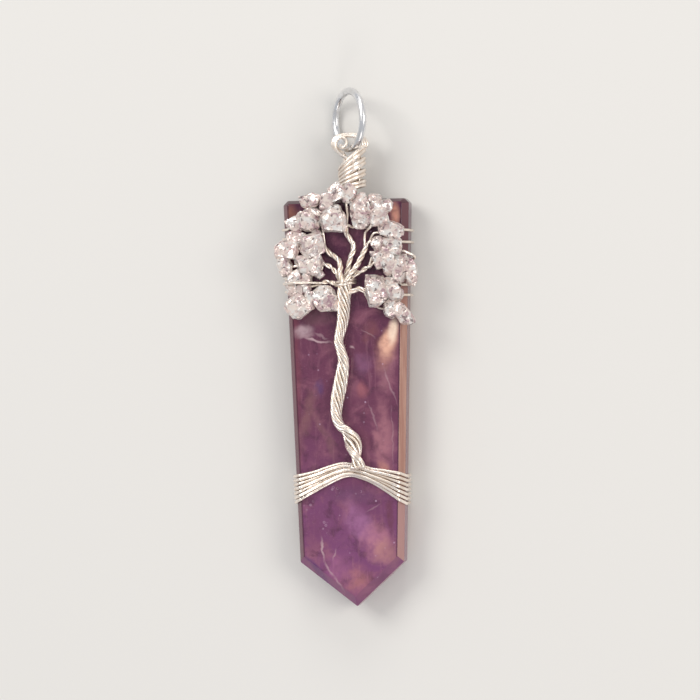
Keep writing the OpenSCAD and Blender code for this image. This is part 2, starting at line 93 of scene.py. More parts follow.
NECK = {"x": 0.8, "low_y": 21.2, "top_y": 25.6, "width": 3.7, "z": 3.6}
RING = {"x": 0.5, "y": 31, "width": 7.9, "wire": 1, "lean": 52, "cut": 0.08, "cut_turn": -70}

# Ends of twigs: the side of the stone and the first corner of the way round its edge
SIDES = {"left": (-1, 0), "far_left": (-1, 1), "right": (1, 0), "far_right": (1, 1)}

# Branches: name, turn of the first strand at the fork, bends, and twigs. A twig tells what its stations are,
# then their places. The last place is a single number where the wire goes round an edge.
BRANCHES = [
    ("l1", 225, [(-2, 8.8, 6.3), (-2.7, 8.85, 6.25), (-3.5, 8.6, 6.3)], [
        ("bend chip chip left", (-4.6, 8.3, 6.5), (-5.85, 7.95, 6.6), (-7.25, 7.85, 6.45), 7.6),
        ("bend bend bend far_left", (-4.8, 8.8, 7.4), (-6.6, 8.8, 7.85), (-8.3, 8.7, 7.1), 8.6),
        ("start chip chip chip left", (-1.5, 6.9, 6.6), (-2.8, 6.5, 6.9), (-4.8, 6.6, 6.75),
         (-6.6, 5.65, 6.8), 5.4),
    ]),
    ("l2", 30, [(-1, 9.7, 6.3), (-1.6, 10.6, 6.3), (-2.3, 11.1, 6.25), (-3.05, 11.35, 6.35)], [
        ("bend chip chip bend far_left", (-3.4, 11.5, 6.6), (-5.05, 11.3, 6.9), (-8.25, 10.9, 6.7),
         (-9.15, 10.7, 6.2), 10.6),
        ("bend chip chip chip left", (-3.1, 10.65, 6.2), (-3.7, 9.95, 6.4), (-5.2, 9.6, 6.6),
         (-6.85, 9.6, 6.6), 9.4),
    ]),
    ("l3", 120, [(-0.45, 9.8, 7.35), (-0.5, 11, 6.8), (-0.85, 11.9, 6.45), (-1.5, 12.4, 6.3),
        (-2.4, 13.1, 6.3), (-2.9, 13.9, 6.35)], [
        ("bend chip chip bend far_left", (-3.35, 14, 6.8), (-4.5, 13.7, 7), (-7.75, 13.25, 6.8),
         (-9.2, 13.1, 6.2), 13),
        ("bend chip chip chip bend left", (-3.35, 14.9, 6.45), (-3.8, 15.6, 6.5), (-4.8, 17, 7.1),
         (-6.65, 16.65, 6.8), (-7.6, 16.2, 6.4), 16.1),
        ("bend bend bend chip bend chip bend top", (-2.8, 15.2, 6.5), (-2.95, 16.6, 6.4), (-3, 17.7, 6.6),
         (-4.25, 18.5, 6.8), (-5.4, 19.15, 6.8), (-4.25, 19.95, 6.9), (-3.2, 20.5, 6.7), -3.3),
        ("start chip left", (-5.15, 15.2, 6.35), (-6.5, 14.95, 6.45), 14.85),
    ]),
    ("t", 150, [(0.2, 9.85, 6.3), (0.5, 10.7, 6.3), (0.8, 12, 6.3), (1.25, 13.2, 6.3), (1.1, 14.2, 6.3),
        (0.55, 15, 6.3), (0.25, 15.8, 6.3), (0.4, 16.6, 6.4)], [
        ("bend chip bend chip chip neck", (0, 17.2, 6.9), (-1.4, 17.5, 7), (-2.95, 18.4, 6.8),
         (-2.2, 19.8, 6.9), (-0.75, 20.95, 7), (0.35, 21.9, 5.95)),
        ("bend bend chip neck", (0.65, 17.9, 6.8), (0.5, 19.3, 7), (0.85, 20.75, 6.85), (1.1, 22.1, 6.15)),
        ("bend bend chip bend top", (1, 16.3, 6.45), (1.7, 16.1, 6.95), (2.6, 18.15, 7), (2.8, 20.45, 6.7),
         2.7),
    ]),
    ("r3", 180, [(0.95, 9.8, 7.35), (1.75, 10.9, 6.95), (2.25, 11.9, 6.5), (2.7, 12.8, 6.35),
        (3.05, 13.6, 6.3)], [
        ("bend bend bend chip chip chip bend top", (2.8, 14.6, 6.2), (2.9, 15.5, 6.2), (3.75, 16.1, 7.1),
         (4.85, 17.5, 7.6), (5.15, 18.9, 6.9), (4.5, 19.95, 6.7), (4.1, 20.6, 6.4), 4),
        ("bend chip bend far_right", (4.1, 15.35, 6.5), (6.3, 15.75, 6.8), (8, 15.75, 6.6), 15.7),
        ("bend chip chip right", (3.45, 14.3, 6.75), (4.65, 14, 6.7), (6.4, 14.15, 6.6), 14.1),
    ]),
    ("r2", 20, [(1.6, 9.85, 6.3), (2.3, 10.2, 6.3), (2.9, 10.6, 6.25), (3.5, 10.9, 6.35)], [
        ("bend chip chip chip chip bend far_right", (4.05, 11.3, 6.65), (4.75, 11.65, 6.8),
         (6.2, 11.2, 6.8), (7.6, 10.75, 6.8), (9, 10.1, 6.1), (9.65, 9.75, 5.2), 9.6),
        ("bend bend chip bend bend bend far_right", (3.95, 12.55, 6.3), (4.8, 13, 6.5), (6.55, 12.95, 6.55),
         (8.3, 12.8, 6.4), (9.3, 12.3, 5.9), (9.65, 11.9, 5.2), 11.6),
    ]),
    ("r1", 90, [(1.6, 7.75, 6.3), (2.15, 7.8, 6.3), (2.7, 7.6, 6.3)], [
        ("bend chip chip right", (3, 7.5, 7.1), (4.35, 7.5, 7.4), (6.8, 7.1, 6.85), 6.9),
        ("bend bend chip bend right", (3.4, 8.3, 5.97), (5.4, 8.8, 6.3), (6.4, 8.7, 6.4), (7.45, 8.6, 6.3),
         8.3),
        ("bend bend chip chip bend far_right", (3.2, 6.2, 5.97), (4.6, 5.2, 6.2), (6.1, 4.95, 6.65),
         (8, 4.35, 6.75), (8.85, 4, 6.1), 3.9),
    ]),
]

# Middle line of the trunk from the crown down: across, along, off its seat, and the turn of its wide side
TRUNK = [
    [0.05, 9.2, 0, 180], [-0.15, 6.4, 0, 150], [-0.3, 3.6, 0, 124], [-0.9, 0.9, 0, 92],
    [-0.65, -0.5, 0, 70], [-0.35, -2.2, 0, 43], [-0.9, -5.3, 0, -6], [-1.3, -7.3, 0, -38],
    [-1.4, -9.4, 0, -71], [-0.95, -10.7, 0, -92], [-0.1, -11.5, 0, -120], [0.65, -12.8, 0.05, -175],
    [1.05, -14.2, 0.25, -235], [1.4, -15.5, 0.7, -300], [1.5, -16.5, 1, -350],
]

# The front of the root band: across, and the places of its upper and lower wire along the length
ROOTS = [
    [-6.95, -17.5, -20.85], [-4.7, -17, -19.6], [-2.6, -16.3, -18.5], [-0.9, -15.9, -17.75],
    [0.4, -16, -17.55], [1.6, -16.15, -17.85], [3, -16.65, -18.4], [4.7, -16.9, -19.4],
    [6.95, -17.3, -20.95],
]
ROOT_LEFT = [-17.65, -21.2]
ROOT_RIGHT = [-17.75, -21.5]

# Bends of the wire eye, from the left end in the neck to the right one
EYE = [[-0.2, 22.6], [-0.2, 26], [-1.2, 26.7], [-2, 27.7], [-1.5, 28.75], [0.3, 29.15], [2.2, 28.7],
    [2.85, 27.7], [2.4, 26.85], [1.8, 26.1], [1.8, 22.6]]
EYE_MIDDLE = [0.5, 27.4]
EYE_WIRES = 3
EYE_LOW_Y = 26.5
EYE_SHRINK = 0.1
EYE_LIFT = -0.15
CURL = [[0.8, 23.2, 4.5], [0.6, 25.3, 4.55], [-0.5, 26.2, 4.6], [-1.2, 27, 4.6], [-1.2, 27.9, 4.6],
    [-0.5, 28.6, 4.6], [0.2, 28.2, 4.6], [0.15, 27.5, 4.6], [-0.4, 27.2, 4.6], [-0.65, 27.6, 4.6]]

# Middle of the soft patches (stone tones and painted reflections) and feathers in depth, and half their
# sizes in depth
SPOT_Z = 5
PATCH_DEPTH = 5
FEATHER_DEPTH = 4

# Soft patches in the stone, some the stone's own tones, the warm pale ones painted reflections of a warm
# surface seen through it: place, half sizes, wobble, turn in degrees, strength and colour
TONE_PATCHES_AND_PAINTED_REFLECTIONS = [
    (-7.2, 0, 0.9, 26, 0.3, 0, 0.55, (0.2, 0.055, 0.07)),
    (-5.6, -9.5, 1, 5.5, 0.6, -14, 0.5, (0.27, 0.13, 0.13)),
    (-3.2, -12, 0.8, 5, 0.6, 22, 0.45, (0.27, 0.13, 0.14)),
    (-4, -5.6, 1, 1.6, 0.5, 0, 0.6, (0.075, 0.04, 0.15)),
    (-4.4, 4.3, 3, 1.6, 0.6, 0, 0.5, (0.22, 0.11, 0.13)),
    (-6, 2.1, 1.9, 1.1, 0.5, 20, 0.8, (0.5, 0.36, 0.4)),
    (2, -2.4, 1.5, 1.7, 0.8, 0, 0.5, (0.27, 0.12, 0.23)),
    (2.1, -5.8, 0.9, 1.3, 0.5, 0, 0.6, (0.36, 0.12, 0.14)),
    (3.4, 2.2, 1.6, 1.7, 0.8, 30, 0.6, (0.24, 0.085, 0.095)),
    (4.7, 0.4, 0.9, 1.8, 0.7, -30, 0.6, (0.13, 0.045, 0.055)),
    (5.3, -4, 1.4, 2.6, 0.9, 0, 0.55, (0.34, 0.15, 0.19)),
    (5.6, -0.4, 1.5, 3.8, 0.5, -22, 0.6, (0.62, 0.31, 0.25)),
    (5.9, 0.9, 1.2, 3, 0.4, -20, 1, (0.8, 0.46, 0.34)),
    (6.4, 2.2, 0.8, 2.2, 0.25, -8, 1, (1, 0.8, 0.64)),
    (4.9, -12, 1.9, 5.6, 1, 4, 0.7, (0.42, 0.18, 0.22)),
    (4.8, -16.4, 0.9, 1.2, 0.4, 0, 0.7, (0.62, 0.29, 0.24)),
    (2, -12.6, 1.4, 3, 0.8, 0, 0.5, (0.17, 0.055, 0.085)),
    (6.9, 17.6, 0.8, 2.2, 0.3, -6, 0.95, (0.85, 0.42, 0.32)),
    (-7.6, 17.6, 1.6, 2.2, 0.5, 0, 0.65, (0.36, 0.16, 0.1)),
    (0.6, -20.3, 4.6, 1.6, 0.6, 0, 0.7, (0.15, 0.06, 0.13)),
    (-4.9, -25, 2, 3.6, 0.7, 0, 0.6, (0.18, 0.055, 0.13)),
    (1.2, -24, 1.9, 4.2, 0.8, 32, 0.7, (0.38, 0.16, 0.32)),
    (3.6, -26.6, 2.4, 3, 0.8, 0, 0.8, (0.46, 0.19, 0.26)),
    (4.5, -28, 2.2, 2.2, 0.9, 0, 0.6, (0.48, 0.23, 0.21)),
    (5.6, -23, 0.8, 3.4, 0.4, 0, 0.7, (0.14, 0.045, 0.07)),
    (-1.8, -30, 2.2, 2.4, 0.7, 30, 0.6, (0.36, 0.13, 0.26)),
    (-4.6, -30.6, 0.55, 3.2, 0.2, 40, 0.85, (0.055, 0.025, 0.13)),
    (1.2, -32.2, 2.5, 2.5, 0.8, 0, 0.62, (0.48, 0.19, 0.2)),
]

# Feathers, the thin bright cracks in the stone: place, half sizes, turn in degrees, thickness, strength
FEATHERS = [
    (-4.2, 0.95, 2.4, 0.5, -12, 0.06, 0.9),
    (-5.6, 1.5, 1.4, 0.8, 10, 0.1, 0.45),
    (-3.6, 1.5, 1.2, 0.5, -22, 0.06, 0.4),
    (0.75, -0.15, 0.5, 0.25, -28, 0.07, 0.9),
    (3, 1.6, 1.3, 0.4, -30, 0.04, 0.35),
    (5.9, -5.4, 0.35, 3.2, 22, 0.04, 0.35),
    (6.1, -12, 0.2, 5, 0, 0.03, 0.3),
    (3.4, -9.5, 0.3, 2.4, 16, 0.04, 0.3),
    (-3.9, -27.6, 0.35, 1.9, 4, 0.06, 0.75),
    (-2.9, -30.3, 0.4, 1.5, 38, 0.06, 0.6),
    (-1.6, -32.3, 0.4, 1.5, 30, 0.06, 0.5),
    (-2.2, -28.4, 0.25, 1, -10, 0.05, 0.45),
    (3.2, -22, 1.3, 0.3, 24, 0.04, 0.25),
]

# Clusters of tiny bubbles in the stone: place and half sizes
BUBBLES = [
    (-5.3, -21.8, 1.2, 0.9),
    (-1.9, -19.4, 0.9, 1.1),
    (1.9, -19.7, 0.5, 0.6),
    (-3.4, -24.3, 0.8, 1.6),
]

# Cloudy tones: stretch of the noise, its scale, detail, roughness and twist, the values between which a tone
# comes in, its share and its colour
STONE_CLOUDS = [
    ((1, 1, 1), (0.3, 6, 0.62, 0.6), (0.46, 0.7), 0.6, (0.3, 0.115, 0.165)),
    ((1, 1, 1), (0.55, 5, 0.6, 0.5), (0.5, 0.32), 0.55, (0.075, 0.024, 0.05)),
    ((1.5, 0.16, 1), (1, 5, 0.7, 0.3), (0.52, 0.72), 0.35, (0.34, 0.15, 0.2)),
]
STONE_FLECKS = [
    ((1, 1, 1), (6, 2, 0.7, 0), (0.6, 0.78), 0.35, (0.42, 0.22, 0.3)),
]
STRIP_STREAKS = [
    ((2.4, 0.12, 1), (1, 4, 0.65, 0), (0.38, 0.66), 1, (0.52, 0.3, 0.235)),
]
QUARTZ_VEINS = [
    ((1, 1, 1), (1, 3, 0.55, 0.8), (0.5, 0.62), 0.95, (1, 0.98, 0.95)),
    ((1, 1, 1), (1, 3, 0.55, 0.8), (0.45, 0.33), 0.7, (0.42, 0.22, 0.3)),
    ((1, 1, 1), (1.9, 1.5, 0.5, 0), (0.6, 0.67), 0.8, (0.17, 0.12, 0.13)),
]

# Tones along the strip on the right bevel, a painted reflection of a warm surface seen through the stone:
# where a tone comes in, its share and its colour
STRIP_PAINTED_REFLECTION_TONES = [
    ((4, 12), 1, (0.15, 0.055, 0.07)),
    ((-17.5, -19.5), 0.7, (0.46, 0.26, 0.26)),
]

# Painted light and shade on the other bevels, by the way they face: axis and lean of the faces that take
# them, their share and their colour
BEVEL_PAINTED_LIGHT_AND_SHADE = [
    ("X", (-0.55, -0.65), 0.8, (0.135, 0.042, 0.062)),
    ("Y", (0.55, 0.65), 0.8, (0.06, 0.02, 0.03)),
    ("Y", (-0.3, -0.4), 0.5, (0.26, 0.09, 0.19)),
]
# Painted shade lines along the inner edges of the bevels
PAINTED_EDGE_SHADE = (0.055, 0.018, 0.035)
FEATHER_TONE = (0.5, 0.34, 0.38)
BUBBLE_TONE = (0.5, 0.34, 0.46)
SPECK_TONE = (0.58, 0.4, 0.56)
# A painted sheen that lightens the rims of the chips
PAINTED_RIM_SHEEN = (1, 0.96, 0.94)

# The middle of a noise colour
HALVES = (0.5, 0.5, 0.5)

# Studio lights: name, place and width in metres, power and colour
LIGHTS = [
    ("key", (-0.34, 0.3, 0.5), 0.34, 1.9, (1, 0.97, 0.92)),
    ("right_box", (0.42, 0.06, 0.42), 0.3, 1.1, (1, 0.94, 0.86)),
    ("top_strip", (0.05, 0.5, 0.26), 0.24, 0.6, (1, 0.97, 0.94)),
    ("low_box", (0.06, -0.46, 0.3), 0.24, 0.5, (1, 0.96, 0.92)),
]

# What every colour in the settings has in common
COLOUR = {"subtype": "COLOR", "min": 0, "max": 1}


class StoneSettings(PropertyGroup):
    """Looks of the stone"""

    edge: FloatProperty(
        name="Edge rounding", description="Width of the polished edges", default=0.00012, unit="LENGTH")
    top_colour: FloatVectorProperty(
        name="Top colour", description="Colour near the ring", default=(0.085, 0.022, 0.055), **COLOUR)
    middle_colour: FloatVectorProperty(
        name="Middle colour", description="Colour half way along", default=(0.143, 0.042, 0.086), **COLOUR)
    tip_colour: FloatVectorProperty(
        name="Tip colour", description="Colour of the lower end", default=(0.195, 0.062, 0.16), **COLOUR)
    # The right bevel's colour is a painted reflection of a warm surface seen through the stone
    painted_reflection_strip_colour: FloatVectorProperty(
        name="Strip colour", description="Colour of the right bevel", default=(0.41, 0.205, 0.16), **COLOUR)


class WireSettings(PropertyGroup):
    """Sizes and looks of the wire"""

    thickness: FloatProperty(
        name="Fine wire", description="Thickness of the fine wire", default=0.0004, unit="LENGTH")
    twig_thickness: FloatProperty(
        name="Twig wire", description="Thickness in the branches", default=0.00036, unit="LENGTH")
    pressed_thickness: FloatProperty(
        name="Pressed wire", description="Thickness in the roots", default=0.00045, unit="LENGTH")
    coil_thickness: FloatProperty(
        name="Coil wire", description="Thickness round the neck", default=0.00058, unit="LENGTH")
    ring_thickness: FloatProperty(
        name="Ring wire", description="Thickness of the jump ring", default=0.001, unit="LENGTH")
    bend: FloatProperty(
        name="Bend radius", description="Radius of the bends", default=0.0005, unit="LENGTH")
    # The wire's warm tint is partly the silver's own and partly a painted reflection of warm surroundings
    colour: FloatVectorProperty(
        name="Wire colour", description="Colour of the clean wire", default=(1, 0.915, 0.835), **COLOUR)
    ring_colour: FloatVectorProperty(
        name="Ring colour", description="Colour of the jump ring", default=(0.83, 0.84, 0.86), **COLOUR)


class ChipSettings(PropertyGroup):
    """Looks of the quartz chips"""

    edge: FloatProperty(
        name="Edge rounding", description="Width of the worn edges", default=0.00014, unit="LENGTH")
    swell: FloatProperty(
        name="Swell", description="Width against the drilled solids", default=1.58)
    swell_up: FloatProperty(
        name="Swell upwards", description="Height against the drilled solids", default=1.18)
    seed: IntProperty(name="Seed", description="Picks the cut corners of the chips", default=7)
    lumps: FloatProperty(
        name="Lumps", description="Height of the uneven lumps", default=0.00012, unit="LENGTH")
    # The warm pink of the chips is partly the quartz's own and partly a painted reflection of warm
    # surroundings
    milk: FloatVectorProperty(
        name="Milky colour", description="Colour of the milky parts", default=(1, 0.88, 0.8), **COLOUR)
    clear: FloatVectorProperty(
        name="Clear colour", description="Colour of the clear parts", default=(0.96, 0.77, 0.71), **COLOUR)
    dark: FloatVectorProperty(
        name="Dark windows", description="Colour of the windows", default=(0.5, 0.33, 0.37), **COLOUR)


class StageSettings(PropertyGroup):
    """Floor and camera"""

    floor: FloatVectorProperty(
        name="Floor colour", description="Colour of the plain floor", default=(0.69, 0.68, 0.66), **COLOUR)
    distance: FloatProperty(
        name="Camera distance", description="From the camera to the pendant", default=0.45, unit="LENGTH")
    tilt: FloatProperty(
        name="Camera tilt", description="Lean of the view from straight down", default=math.radians(10),
        subtype="ANGLE")
    roll: FloatProperty(
        name="Camera roll", description="Turn of the picture", default=math.radians(1.02), subtype="ANGLE")


def mix(a, b, t):
    """The value between a and b."""
    return a + (b - a) * t


def smooth_curve(rows, steps):
    """A smooth curve through the rows of a table."""
    ends = len(rows) - 1
    out = []
    for i in range(ends):
        a, b, c, d = (rows[min(max(i + k, 0), ends)] for k in (-1, 0, 1, 2))
        for j in range(steps):
            t = j / steps
            out.append([
                0.5 * (2 * q + (r - p) * t + (2 * p - 5 * q + 4 * r - s) * t * t
                       + (3 * q - p - 3 * r + s) * t ** 3)
                for p, q, r, s in zip(a, b, c, d)
            ])
    return out + [list(rows[-1])]


def smooth_path(rows, steps):
    """A smooth path through some places."""
    return [Vector(p) for p in smooth_curve(rows, steps)]


def tangent(points, i):
    """Direction of a path at its point i."""
    near = points[max(i - 1, 0):i + 2]
    return sum(((q - p).normalized() for p, q in zip(near, near[1:])), Vector()).normalized()


def lengths(points):
    """Distance along a path of each of its points."""
    out = [0]
    for p, q in zip(points, points[1:]):
        out.append(out[-1] + (q - p).length)
    return out


def strand(axis, count, k, fork_turn):
    """One wire of a twisted stretch, laid against its neighbours."""
    s = lengths(axis)
    lay = TWIG_WIRE / 2 / math.sin(math.pi / count)
    out = []
    for i, middle in enumerate(axis):
        t = tangent(axis, i)
        side = t.cross(UP).normalized()
        a = math.radians(fork_turn) + 2 * math.pi * (k + 2 * (s[-1] - s[i]) / BRANCH_TURN) / count
        out.append(middle + lay * (math.cos(a) * side + math.sin(a) * side.cross(t)))
    return out


def half_width(y):
    """Half the stone's width at a place along its length."""
    return mix(STONE_LOW_W, STONE_TOP_W, (y - SHOULDER_Y) / (STONE_TOP_Y - SHOULDER_Y)) / 2


def round_edge(edge, bevel):
    """Corners of a wire that goes round a bevelled edge from front to back."""
    slope = Vector((BEVEL_DEPTH, bevel)).normalized()
    front, side = Vector((0, 1)), Vector((1, 0))
    a = WIRE_LAY * (front + slope) / (1 + front.dot(slope))
    b = WIRE_LAY * (slope + side) / (1 + slope.dot(side))
    inner, outer = edge - bevel + a[0], edge + b[0]
    return [
        (inner, STONE_TOP_Z + a[1]), (outer, STONE_TOP_Z - BEVEL_DEPTH + b[1]),
        (outer, STONE_LOW_Z + BEVEL_DEPTH - b[1]), (inner, STONE_LOW_Z - a[1]),
    ]


def round_side(side, y, first):
    """The way of a wire round a long edge of the stone to its back."""
    p = round_edge(half_width(y), SIDE_BEVEL)
    return [Vector((side * x, y, z)) for x, z in p[first:] + [(BACK_END_X, p[3][1])]]


def way_out(kind, place):
    """The way from a twig's last station to its end."""
    back_length = 3
    if kind in SIDES:
        side, first = SIDES[kind]
        return round_side(side, place, first)
    if kind == "top":
        p = round_edge(STONE_TOP_Y, END_BEVEL)
        return [Vector((place, y, z)) for y, z in p[1:] + [(STONE_TOP_Y - back_length, p[3][1])]]
    return [Vector(place)]


def twig_bends(twig):
    """Bends of a twig: at each bend, and half way between two chips."""
    kinds, places = twig[0].split(), twig[1:]
    out = []
    for i in range(len(places) - 1):
        if kinds[i] != "chip":
            out.append(Vector(places[i]))
        elif kinds[i + 1] == "chip":
            out.append((Vector(places[i]) + Vector(places[i + 1])) / 2)
    return out + way_out(kinds[-1], places[-1])


def branch_routes(fork_turn, bends, twigs):
    """The wires of a branch. The twisted ones start in the knot over the trunk."""
    steps, knot_share, knot_drop, knot_lift = 7, 0.75, 0.5, 0.15
    twisted = [twig for twig in twigs if not twig[0].startswith("start")]
    x, y, z = bends[0]
    knot = (mix(x, TRUNK[0][0], knot_share), min(y, TRUNK[0][1]) - knot_drop, z + knot_lift)
    axis = smooth_path([knot, *bends], steps)
    routes = [strand(axis, len(twisted), k, fork_turn) + twig_bends(twig) for k, twig in enumerate(twisted)]
    return routes + [twig_bends(twig) for twig in twigs if twig not in twisted]


def trunk_routes():
    """The wires of the trunk, a flattened rope whose wide side turns."""
    steps, end_share, core_share, spread_length = 10, 0.55, 0.42, 2
    rows = smooth_curve(TRUNK, steps)
    points = [Vector(row[:3]) for row in rows]
    s = lengths([Vector((row[0], row[1], 0)) for row in rows])
    places = [(1, k / TRUNK_WIRES) for k in range(TRUNK_WIRES)]
    places += [(core_share, k / TRUNK_CORE) for k in range(TRUNK_CORE)]
    routes = [[] for place in places]
    for i, row in enumerate(rows):
        turn = math.radians(row[3])
        t = tangent(points, i)
        side = UP.cross(t).normalized()
        half_height = math.hypot(TRUNK_HALF_WIDTH * math.sin(turn), TRUNK_HALF_DEPTH * math.cos(turn))
        middle = Vector((row[0], row[1], STONE_TOP_Z + ROOM + WIRE / 2 + row[2] + half_height))
        close = end_share if i in (0, len(rows) - 1) else 1
        spread = mix(1, TRUNK_SPREAD, min(max((TRUNK_FOOT_Y - row[1]) / spread_length, 0), 1))
        for route, (reach, share) in zip(routes, places):
            a = 2 * math.pi * (share - s[i] / TRUNK_TURN) - turn
            wide = reach * close * spread * TRUNK_HALF_WIDTH * math.cos(a)
            deep = reach * close * TRUNK_HALF_DEPTH * math.sin(a)
            x = wide * math.cos(turn) - deep * math.sin(turn)
            y = wide * math.sin(turn) + deep * math.cos(turn)
            route.append(middle + x * side + y * t.cross(side))
    return routes


def root_routes():
    """The closed wires of the root band, from the middle of the back round the left edge."""
    steps, end_gap, slant, step_room = 5, 0.1, 0.76, 0.46
    rows = smooth_curve(ROOTS, steps)
    routes = []
    for k in range(ROOT_COUNT):
        share = k / (ROOT_COUNT - 1)
        left = round_side(-1, mix(*ROOT_LEFT, share), 0)
        right = round_side(1, mix(*ROOT_RIGHT, share), 0)
        front = []
        for x, upper, lower in rows:
            step = slant * abs(upper - lower) / (ROOT_COUNT - 1)
            lift = math.sqrt(max(0, step_room ** 2 - step ** 2)) if k % 2 else 0
            front.append(Vector((x, mix(upper, lower, share), STONE_TOP_Z + WIRE_LAY + lift)))
        back_y = (left[0].y + right[0].y) / 2
        ends = [Vector((x, back_y, left[3].z)) for x in (-end_gap, end_gap)]
        routes.append([ends[0], *left[3:0:-1], *front, *right[1:4], ends[1]])
    return routes


def crown_routes():
    """Two short arches of wire over the top of the trunk."""
    slant, flat_top, steps, from_top, between, side_room, top_room = 0.2, 0.8, 16, 0.25, 0.44, 0.12, 0.1
    x, top_y = TRUNK[0][:2]
    reach = TRUNK_HALF_WIDTH + WIRE / 2 + side_room + WIRE_LAY
    foot_z = STONE_TOP_Z + WIRE_LAY
    top_z = STONE_TOP_Z + 2 * TRUNK_HALF_DEPTH + 1.5 * WIRE + top_room
    turns = [math.pi * i / steps for i in range(steps + 1)]
    return [
        [Vector((x - reach * math.cos(a), y - slant * math.cos(a),
                 mix(foot_z, top_z, max(0, math.sin(a)) ** flat_top))) for a in turns]
        for y in (top_y - from_top, top_y - from_top - between)
    ]


def back_routes():
    """Three wires up the back, round the top end and into the neck."""
    step, end_inside = 0.5, 1
    band_top = (ROOT_LEFT[0] + ROOT_RIGHT[0]) / 2
    edge = round_edge(STONE_TOP_Y, END_BEVEL)
    way = [(0, band_top + step, edge[3][1]), (0, *edge[3]), (0, *edge[2]),
           (NECK["x"], NECK["low_y"], NECK["z"]), (NECK["x"], NECK["top_y"] - end_inside, NECK["z"])]
    return [[Vector((x + k * step, y, z)) for x, y, z in way] for k in (-1, 0, 1)]


def neck_routes():
    """The doubled coil round the neck, whose turns lean more towards the top."""
    r = (NECK["width"] - WIRE) / 2
    steps, lean, pair, between, start = 32, (0.1, 0.85), 0.5, 0.58, -0.25
    routes = [[], []]
    i, y = 0, NECK["low_y"]
    while y < NECK["top_y"]:
        a = 2 * math.pi * (start + i / steps)
        slope = mix(*lean, (y - NECK["low_y"]) / (NECK["top_y"] - NECK["low_y"]))
        stretch = math.sqrt(1 + slope ** 2)
        x, z = r * math.sin(a), r * math.cos(a)
        for k, route in enumerate(routes):
            route.append(Vector((NECK["x"] + x, y + k * pair * stretch + slope * x, NECK["z"] + z)))
        y += (pair + between) * stretch / steps
        i += 1
    return routes


def eye_routes():
    """The fine wires of the eye, inside each other, and the curl before them."""
    steps, between = 8, 0.44
    routes = []
    for k in range(EYE_WIRES):
        z = NECK["z"] + EYE_LIFT + (k - (EYE_WIRES - 1) / 2) * between
        row = []
        for x, y in EYE:
            share = k * EYE_SHRINK if y >= EYE_LOW_Y else 0
            row.append((mix(x, EYE_MIDDLE[0], share), mix(y, EYE_MIDDLE[1], share), z))
        routes.append(smooth_path(row, steps))
    return routes + [smooth_path(CURL, steps)]


def ring_route():
    """The jump ring from one side of its cut round to the other."""
    steps = 96
    r = RING["width"] / 2
    half_cut = RING["cut"] / 2 / r
    lean = math.radians(RING["lean"])
    centre = Vector((RING["x"], RING["y"], r * math.sin(lean) + RING["wire"] / 2))
    start = math.radians(RING["cut_turn"]) + half_cut
    turns = [start + (2 * math.pi - 2 * half_cut) * i / steps for i in range(steps + 1)]
    across = Vector((math.cos(lean), 0, math.sin(lean)))
    return [centre + r * (math.cos(a) * across + math.sin(a) * Vector((0, 1, 0))) for a in turns]


def feed(socket, value):
    """Gives an input a socket or a plain value."""
    if isinstance(value, NodeSocket):
        socket.id_data.links.new(value, socket)
    elif socket.type == "RGBA":
        socket.default_value = (*value, 1)[:4]
    else:
        socket.default_value = value


def put(tree, kind, inputs=None, **settings):
    """Adds a node. An input is given by name or number."""
    node = tree.nodes.new(kind)
    for key, value in settings.items():
        setattr(node, key, value)
    for key, value in (inputs or {}).items():
        feed(node.inputs[key], value)
    return node


def calc(operation, *values, kind="ShaderNodeMath"):
    """A Math node's result."""
    tree = next(value.id_data for value in values if isinstance(value, NodeSocket))
    return put(tree, kind, dict(enumerate(values)), operation=operation).outputs[0]


def vector_calc(operation, *values):
    """A Vector Math node's result."""
    return calc(operation, *values, kind="ShaderNodeVectorMath")


def largest(masks):
    """The largest of some masks."""
    result = masks[0]
    for mask in masks[1:]:
        result = calc("MAXIMUM", result, mask)
    return result


def parts(vector):
    """The three parts of a vector, by name."""
    return put(vector.id_data, "ShaderNodeSeparateXYZ", {0: vector}).outputs


def blend(share, a, b):
    """The colour between a and b."""
    node = put(share.id_data, "ShaderNodeMix", data_type="RGBA")
    sockets = {socket.identifier: socket for socket in [*node.inputs, *node.outputs]}
    for name, value in (("Factor_Float", share), ("A_Color", a), ("B_Color", b)):
        feed(sockets[name], value)
    return sockets["Result_Color"]


def ramp(value, low, high, to_low=0, to_high=1):
    """Goes from to_low to to_high while a value goes from low to high."""
    return put(value.id_data, "ShaderNodeMapRange", {
        "Value": value, "From Min": low, "From Max": high, "To Min": to_low, "To Max": to_high,
    }, interpolation_type="SMOOTHSTEP").outputs["Result"]


def tint(colour, tone, value, low, high, share=1):
    """Brings a tone in while a value goes from low to high."""
    return blend(ramp(value, low, high, 0, share), colour, tone)


def stretched(place, stretch):
    """A place with its parts multiplied."""
    return put(place.id_data, "ShaderNodeMapping", {"Vector": place, "Scale": stretch}).outputs[0]


def millimetres(tree):
    """Object coordinates in millimetres."""
    return stretched(put(tree, "ShaderNodeTexCoord").outputs["Object"], (1 / MM, 1 / MM, 1 / MM))


def noise(place, scale, detail=3, rough=0.5, twist=0, output="Fac"):
    """A noise value around 0.5, or its colour."""
    return put(place.id_data, "ShaderNodeTexNoise", {
        "Vector": place, "Scale": scale, "Detail": detail, "Roughness": rough, "Distortion": twist,
    }).outputs[output]


def cloudy(place, colour, layers):
    """Brings in the cloudy tones of a table."""
    for stretch, grain, span, share, tone in layers:
        colour = tint(colour, tone, noise(stretched(place, stretch), *grain), *span, share)
    return colour


def cells(place, scale, spread):
    """The outputs of a pattern of cells."""
    return put(place.id_data, "ShaderNodeTexVoronoi", {
        "Vector": place, "Scale": scale, "Randomness": spread}).outputs


def picked(colour, part):
    """One part of a colour."""
    return put(colour.id_data, "ShaderNodeSeparateColor", {0: colour}).outputs[part]


